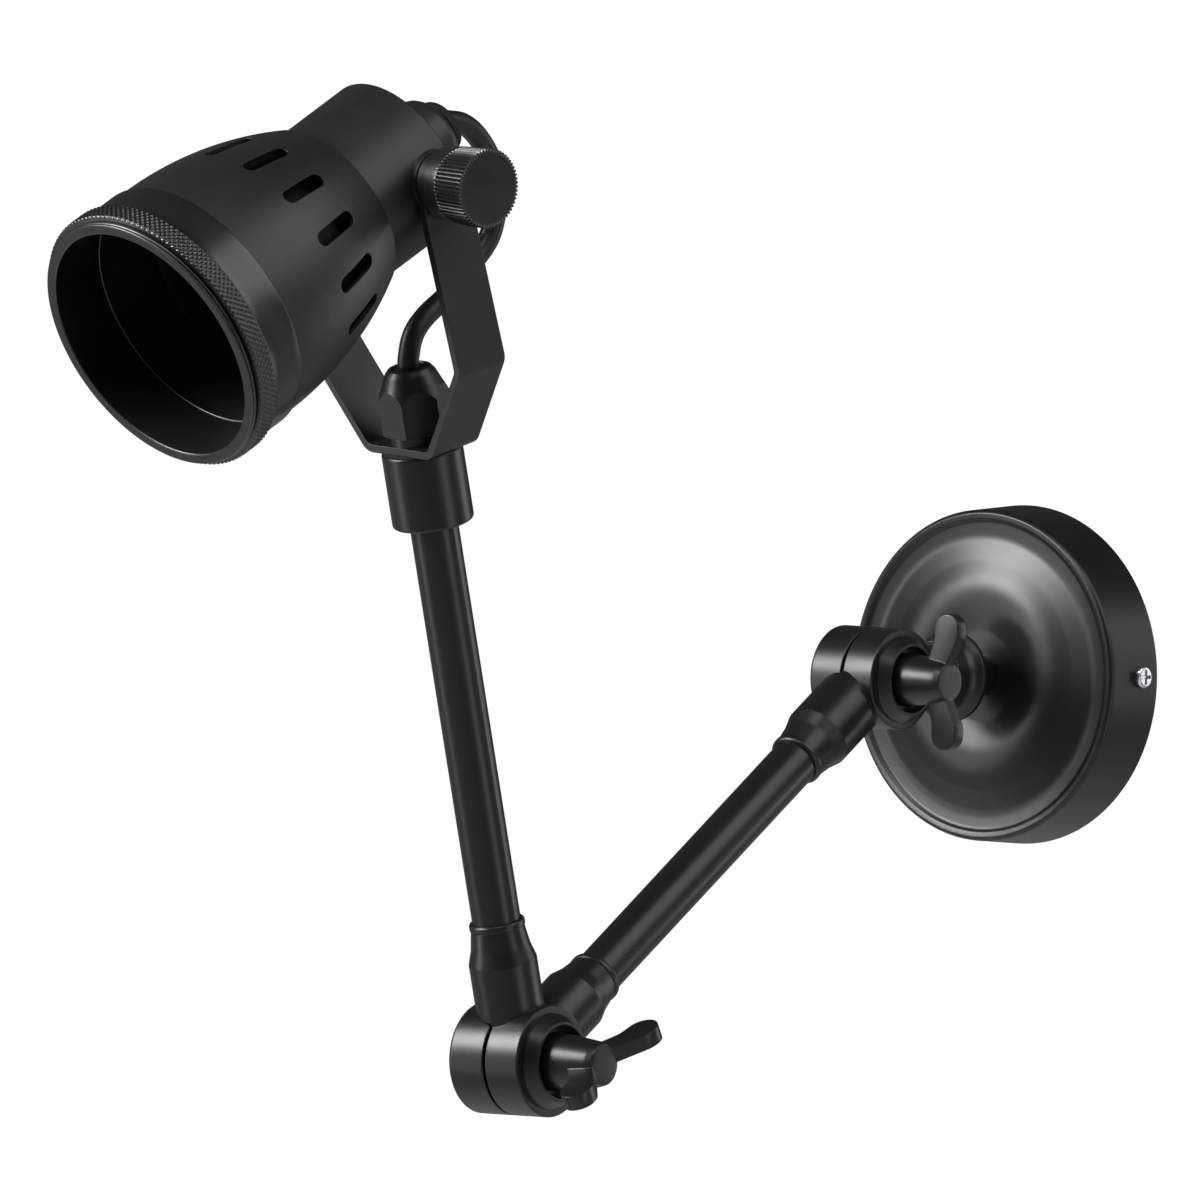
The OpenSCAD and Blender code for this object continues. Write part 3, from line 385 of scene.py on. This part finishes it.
class FrontRing(bpy.types.Operator):
    """Knurled ring at the mouth: plain band, diamond knurling, groove, bead and rounded lip"""
    bl_idname = "lamp.front_ring"
    bl_label = "Front ring"

    def execute(self, context):
        s = sizes()
        rear, step_z, mouth = 79.5, 81.0, 100.8
        inner, skirt, band, proud, lip = 37.5, 40.55, 41.37, 42.75, 40.95
        knurl = (91.6, 98.4)
        bead = 0.4
        profile = [(skirt, step_z), (skirt, rear + 0.1), (skirt + 0.15, rear)]
        profile += arc(band - 0.5, rear + 0.5, 0.5, -90, 0, 5)
        profile += between((band, rear + 0.5), (band, knurl[0] - 0.5), 5)
        profile += [(band + 0.1, knurl[0] - 0.2), (band + 0.35, knurl[0])]
        profile += arc(proud - 0.7, knurl[0] + 0.7, 0.7, -90, 0, 5)
        profile += between((proud, knurl[0] + 0.7), (proud, knurl[1] - 0.7), 20)
        profile += arc(proud - 0.7, knurl[1] - 0.7, 0.7, 0, 90, 5)
        profile += [(40.5, knurl[1] + 0.02), (40.3, knurl[1] + 0.15)]
        profile += arc(40.45, 99.35, 0.62, -60, 60, 7)
        profile += [(40.42, 99.98), (40.45, 100.08)]
        profile += arc(lip - 0.45, mouth - 0.42, 0.42, -30, 90, 7)
        profile += [(39.3, mouth)]
        profile += arc(inner + 0.5, mouth - 0.5, 0.5, 90, 180, 6)
        profile += between((inner, mouth - 0.5), (inner, step_z + 2 * bead), 4)
        profile += arc(inner, step_z + bead, bead, 90, 270, 8)
        around = int(round(math.tau * proud / (s.ring_pitch / MM)))
        bm = turned(profile, around * 6, closed=True)
        depth = s.ring_depth / MM
        pitch = math.tau * proud / around
        for v in bm.verts:
            r = math.hypot(v.co.x, v.co.y)
            if r < band + 0.3 or not knurl[0] < v.co.z < knurl[1]:
                continue
            turn = math.atan2(v.co.y, v.co.x) / math.tau * around
            rise = v.co.z / pitch
            cut = max(groove(turn + rise), groove(turn - rise))
            share = min(1.0, (r - band - 0.3) / 0.7)
            scale = (r - depth * cut * share) / r
            v.co.x *= scale
            v.co.y *= scale
        finish_piece(bm, "front_ring_knurled", HEAD, "knurl", "ring", "front_ring", angle=50)
        return {"FINISHED"}


def groove(t):
    """How deep a knurling groove is at t turns of its pitch: 1 in its middle, 0 on the ridge."""
    d = abs(t - round(t)) * 2
    return max(0.0, 1.0 - d / 0.55)


class TiltKnob(bpy.types.Operator):
    """Tilt knob with straight knurling and its stud"""
    bl_idname = "lamp.tilt_knob"
    bl_label = "Tilt knob"

    def execute(self, context):
        s = sizes()
        face, back, stud, stud_r = 48.5, 30.25, 21.5, 3.0
        neck, waist, rim = 10.9, 11.45, 11.9
        band = 37.2
        profile = rounded([
            (0, stud), (stud_r, stud, 0.4), (stud_r, back), (neck, back, 0.7), (waist, band)])
        profile += [(waist + 0.02, band + 0.1), (waist + 0.03, band + 0.35), (waist + 0.05, band + 0.7)]
        profile = filled(profile, 1.6)
        profile += filled([(waist + 0.06, band + 1.1), (rim, face - 0.3)], 2.2)
        profile += rounded([(rim, face - 0.28), (rim, face, 0.22), (10, face + 0.05), (5, face + 0.16),
                            (0, face + 0.2)], step=30)[1:]
        bm = turned(profile, s.knob_ribs * 8)
        depth = s.knob_depth / MM
        for v in bm.verts:
            r = math.hypot(v.co.x, v.co.y)
            if r < waist - 0.6 or v.co.z < band + 0.05:
                continue
            turn = math.atan2(v.co.y, v.co.x) / math.tau * s.knob_ribs
            cut = max(0.0, 1.0 - abs(turn - round(turn)) * 2 / 0.62) ** 0.7
            fade = min(1.0, (v.co.z - band) / 0.3)
            scale = (r - depth * cut * fade) / r
            v.co.x *= scale
            v.co.y *= scale
        place = HEAD @ Matrix.Rotation(math.pi / 2, 4, "Y")
        finish_piece(bm, "tilt_knob_ribbed", place, "knob", "knob", "tilt_knob",
                     angle=50)
        return {"FINISHED"}


# Thickness of the cord
CORD_D = 6.5 * MM

# Middle of the cord in the yoke's upright plane: distance behind the arm's axis and along it, in millimetres
CORD_ROUTE = [
    (0.9, 29), (2.3, 32), (4.6, 34.8), (8, 37.1), (12, 38.9), (16.5, 40.4), (22, 42.7), (27.5, 45.8),
    (32.3, 49), (35.8, 51.2), (38.7, 53.7), (41, 57), (42.7, 60.8), (43.8, 65), (44.3, 69.5), (44, 74),
    (43, 78.2),
    (41.4, 81.8), (39.6, 84.9), (37.6, 87.5), (35.5, 89.4), (33.4, 90.7), (31.4, 91.5),
]


class Cord(bpy.types.Operator):
    """Cord from the cable gland round to the back of the head"""
    bl_idname = "lamp.cord"
    bl_label = "Cord"

    def execute(self, context):
        foot = max((v.co - YOKE_FOOT).dot(ARM_AXIS) for v in NODES["gland_seal"].data.vertices) / MM
        rear = -(HEAD.to_3x3() @ Vector((0, 0, 1)))
        ends = max((v.co - PIVOT).dot(rear) for v in NODES["strain_relief"].data.vertices) / MM
        inverse = YOKE.inverted()
        head_end = inverse @ (PIVOT + rear * ends * MM) / MM
        head_out = inverse @ (PIVOT + rear * (ends + 1.6) * MM) / MM
        points = [(0, foot), (0, foot + 2)] + CORD_ROUTE
        points += [(head_out.y, head_out.z), (head_end.y, head_end.z)]
        world = [YOKE @ (Vector((0, y, z)) * MM) for y, z in points]
        curve = bpy.data.curves.new("cord_line", "CURVE")
        curve.dimensions = "3D"
        spline = curve.splines.new("BEZIER")
        spline.bezier_points.add(len(world) - 1)
        for point, co in zip(spline.bezier_points, world):
            point.co = co
            point.handle_left_type = point.handle_right_type = "AUTO"
        spline.resolution_u = 4
        curve.bevel_depth = CORD_D / 2
        curve.bevel_resolution = 8
        curve.use_fill_caps = True
        holder = bpy.data.objects.new("cord_line", curve)
        context.scene.collection.objects.link(holder)
        context.view_layer.update()
        mesh = bpy.data.meshes.new_from_object(holder.evaluated_get(context.evaluated_depsgraph_get()))
        curve.bevel_depth = 0
        context.view_layer.update()
        line = bpy.data.meshes.new_from_object(holder.evaluated_get(context.evaluated_depsgraph_get()))
        bpy.data.objects.remove(holder)
        bpy.data.meshes.remove(line)
        mesh.name = "cord_sheath"
        mesh.materials.clear()
        mesh.materials.append(MATERIALS["sheath"])
        bm = bmesh.new()
        bm.from_mesh(mesh)
        bmesh.ops.remove_doubles(bm, verts=bm.verts, dist=0.00001)
        bmesh.ops.recalc_face_normals(bm, faces=bm.faces)
        for face in bm.faces:
            face.smooth = len(face.verts) <= 4
        bm.to_mesh(mesh)
        bm.free()
        piece = bpy.data.objects.new("cord_sheath", mesh)
        context.scene.collection.objects.link(piece)
        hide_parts("cord")
        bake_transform(piece)
        return {"FINISHED"}


# Distance of a wing nut's tip from the middle of its hinge, and of its seat, in millimetres
NUT_TIP = 32.6
NUT_SEAT = 13.05


def wing_outline(lean):
    """Corners of a wing's side: distance along the nut's axis, distance from it, and the rounding."""
    reach = sizes().wing_reach / MM
    waist_lean = 0.6 * lean
    return [
        (NUT_TIP - 14.5, 3.5, 0), (NUT_TIP - 7.9, 7.2, 2.5), (NUT_TIP - 5.7 + waist_lean, 13.5, 6),
        (NUT_TIP - 5.6 + lean, reach, 5.0), (NUT_TIP + 4.5 + lean, reach, 5.0),
        (NUT_TIP + 4.5 + waist_lean, 14.4, 5.5), (NUT_TIP - 0.2, 5.2, 1), (NUT_TIP - 1.2, 3.5, 0)]


def add_wing(bm, side, thick, lean):
    """One paddle: the outline as a face, extruded to its thickness and bevelled round."""
    line = rounded(wing_outline(lean), closed=True, step=12)
    verts = [bm.verts.new((r * side, -thick / 2, x)) for x, r in line]
    face = bm.faces.new(verts)
    made = bmesh.ops.extrude_face_region(bm, geom=[face])["geom"]
    moved = [item for item in made if isinstance(item, bmesh.types.BMVert)]
    bmesh.ops.translate(bm, verts=moved, vec=(0, thick, 0))
    far = next(item for item in made if isinstance(item, bmesh.types.BMFace))
    edges = list(face.edges) + list(far.edges)
    bmesh.ops.bevel(bm, geom=edges, offset=0.55, offset_type="OFFSET", segments=4, profile=0.5,
                    affect="EDGES", clamp_overlap=True, material=-1)


class WingNuts(bpy.types.Operator):
    """Wing nuts of the two hinges: a tapered hub with two thick, rounded wings"""
    bl_idname = "lamp.wing_nuts"
    bl_label = "Wing nuts"

    def execute(self, context):
        bore, thread_end = 3.05, 26.1
        hub = [
            (bore, NUT_SEAT), (8.8, NUT_SEAT, 0.9), (8.8, 16.2, 6), (6.9, 30.2, 3), (6.2, NUT_TIP, 0.45),
            (4, NUT_TIP + 0.08), (0, NUT_TIP + 0.1)]
        nuts = (("wall", WALL_HINGE, 0.9, 0, 0), ("elbow", ELBOW, 1.0, -60, 4))
        for name, centre, share, turn, lean in nuts:
            profile = rounded([(bore, thread_end), (bore, NUT_SEAT)]) + rounded(hub)[1:]
            bm = turned(filled(profile, 2.5), 72)
            for side in (1, -1):
                add_wing(bm, side, 4.7, lean)
            place = (Matrix.Translation(centre) @ Matrix.Rotation(math.radians(turn), 4, "X")
                     @ Matrix.Scale(share, 4) @ Matrix.Rotation(math.pi / 2, 4, "Y"))
            finish_piece(bm, name + "_nut_winged", place, "paint", name + "_nut", name + "_wing_nut",
                         angle=38)
        return {"FINISHED"}


class Finishes(bpy.types.Operator):
    """Gives every carried-over piece its finish"""
    bl_idname = "lamp.finishes"
    bl_label = "Finishes"

    def execute(self, context):
        for name, obj in NODES.items():
            obj.data.materials.clear()
            obj.data.materials.append(MATERIALS[NODE_FINISH[name]])
        return {"FINISHED"}


# Camera: azimuth, elevation and roll in degrees, the point it looks at in millimetres, and its scale
CAMERA_TURNS = (38.562, 2.31, 1.794)
CAMERA_TARGET = (-0.306, -201.84, 24.418)
PICTURE_WIDTH = 1200
PIXELS_PER_MM = 3.387

# Height of the floor in metres, well below the lamp
FLOOR_Z = -1.2

# Strength of the surroundings as light, and as what glossy paint mirrors
AMBIENT = 0.3
SHEEN = 0.07


# Point that the lights look at, in metres
LIGHTS_AIM = (0.0, -0.2, 0.02)


def area_light(name, towards, distance, size, power, size_y=None):
    """A soft box that looks at the lamp from the given direction."""
    data = bpy.data.lights.new(name, "AREA")
    data.shape = "RECTANGLE" if size_y else "SQUARE"
    data.size = size
    if size_y:
        data.size_y = size_y
    data.energy = power
    light = bpy.data.objects.new(name, data)
    aim = Vector(LIGHTS_AIM)
    d = Vector(towards).normalized()
    light.location = aim + d * distance
    light.rotation_euler = d.to_track_quat("Z", "Y").to_euler()
    bpy.context.scene.collection.objects.link(light)
    return light


class Studio(bpy.types.Operator):
    """Camera, floor, lights and the white surroundings"""
    bl_idname = "lamp.studio"
    bl_label = "Studio"

    def execute(self, context):
        scene = context.scene
        az, el, roll = (math.radians(turn) for turn in CAMERA_TURNS)
        back = Vector((math.sin(az) * math.cos(el), -math.cos(az) * math.cos(el), math.sin(el)))
        right = Vector((math.cos(az), math.sin(az), 0))
        up = back.cross(right)
        r2 = right * math.cos(roll) + up * math.sin(roll)
        u2 = -right * math.sin(roll) + up * math.cos(roll)
        target = Vector(CAMERA_TARGET) * MM
        data = bpy.data.cameras.new("Camera")
        data.type = "ORTHO"
        data.ortho_scale = PICTURE_WIDTH / PIXELS_PER_MM * MM
        data.clip_end = 60
        camera = bpy.data.objects.new("Camera", data)
        place = target + back * 2.0
        camera.matrix_world = Matrix((
            (r2.x, u2.x, back.x, place.x), (r2.y, u2.y, back.y, place.y),
            (r2.z, u2.z, back.z, place.z), (0, 0, 0, 1)))
        scene.collection.objects.link(camera)
        scene.camera = camera

        area_light("Key box", (-0.55, -0.72, 0.42), 1.25, 0.55, 27)
        area_light("Top box", (0.72, 0.15, 0.68), 1.3, 1.0, 9)
        area_light("Edge strip", (0.1, -0.55, 0.83), 1.3, 0.8, 7, 0.15)
        area_light("Left strip", (-0.75, -0.64, -0.12), 1.3, 0.25, 4, 0.9)
        area_light("Right strip", (0.97, 0.05, -0.2), 1.3, 0.3, 2.5, 0.9)
        area_light("Back strip", (0.45, 0.85, 0.1), 1.4, 0.5, 3.5, 0.9)

        world = bpy.data.worlds.new("Surroundings")
        scene.world = world
        world.use_nodes = True
        tree = world.node_tree
        tree.nodes.clear()
        path = tree.nodes.new("ShaderNodeLightPath")
        direct = path.outputs["Is Camera Ray"]
        through = path.outputs["Is Transmission Ray"]
        seen = add(tree, "Math", [(0, direct), (1, through)], operation="MAXIMUM")
        glint = add(tree, "MapRange", [("Value", path.outputs["Is Glossy Ray"])])
        glint.inputs["To Min"].default_value = AMBIENT
        glint.inputs["To Max"].default_value = SHEEN
        level = add(tree, "Mix", [(0, seen.outputs[0]), (2, glint.outputs["Result"])])
        level.inputs[3].default_value = 1.0
        sky = tree.nodes.new("ShaderNodeBackground")
        sky.inputs["Color"].default_value = (1, 1, 1, 1)
        out = tree.nodes.new("ShaderNodeOutputWorld")
        tree.links.new(level.outputs[0], sky.inputs["Strength"])
        tree.links.new(sky.outputs[0], out.inputs["Surface"])

        bm = bmesh.new()
        bmesh.ops.create_grid(bm, x_segments=2, y_segments=2, size=30)
        mesh = bpy.data.meshes.new("floor")
        bm.to_mesh(mesh)
        bm.free()
        mesh.transform(Matrix.Translation((0, 0, FLOOR_Z)))
        floor = bpy.data.objects.new("floor", mesh)
        scene.collection.objects.link(floor)
        material = bpy.data.materials.new("White floor")
        material.use_nodes = True
        tree = material.node_tree
        shader = tree.nodes["Principled BSDF"]
        shader.inputs["Base Color"].default_value = (0.9, 0.9, 0.9, 1)
        shader.inputs["Roughness"].default_value = 0.9
        path = tree.nodes.new("ShaderNodeLightPath")
        glow = tree.nodes.new("ShaderNodeEmission")
        glow.inputs["Strength"].default_value = 1.06
        part = add(tree, "Math", [(0, path.outputs["Is Camera Ray"])], operation="MULTIPLY", in1=0.95)
        mix = tree.nodes.new("ShaderNodeMixShader")
        tree.links.new(part.outputs[0], mix.inputs[0])
        tree.links.new(shader.outputs[0], mix.inputs[1])
        tree.links.new(glow.outputs[0], mix.inputs[2])
        tree.links.new(mix.outputs[0], tree.nodes["Material Output"].inputs["Surface"])
        mesh.materials.append(material)

        scene.view_settings.view_transform = "Standard"
        return {"FINISHED"}


class LAMP_PT_panel(bpy.types.Panel):
    """Panel that lists the lamp's sizes, colours and pieces"""
    bl_label = "Wall lamp"
    bl_space_type = "VIEW_3D"
    bl_region_type = "UI"
    bl_category = "Lamp"

    def draw(self, context):
        layout = self.layout
        for group in (context.scene.lamp_sizes, context.scene.lamp_colours):
            for key in group.__annotations__:
                layout.prop(group, key)
        for cls in PIECES:
            layout.operator(cls.bl_idname)


PIECES = (Studio, Cord, Finishes, Canopy, LightBaffle, FrontRing, TiltKnob, WingNuts)
CLASSES = (LampSizes, LampColours) + PIECES + (LAMP_PT_panel,)


def register():
    for cls in CLASSES:
        bpy.utils.register_class(cls)
    bpy.types.Scene.lamp_sizes = bpy.props.PointerProperty(type=LampSizes)
    bpy.types.Scene.lamp_colours = bpy.props.PointerProperty(type=LampColours)


def unregister():
    del bpy.types.Scene.lamp_sizes
    del bpy.types.Scene.lamp_colours
    for cls in reversed(CLASSES):
        bpy.utils.unregister_class(cls)


def main():
    register()
    make_materials()
    for cls in PIECES:
        area, name = cls.bl_idname.split(".")
        if getattr(getattr(bpy.ops, area), name)() != {"FINISHED"}:
            raise RuntimeError(cls.bl_label + " wasn't made")


if __name__ == "__main__":
    main()
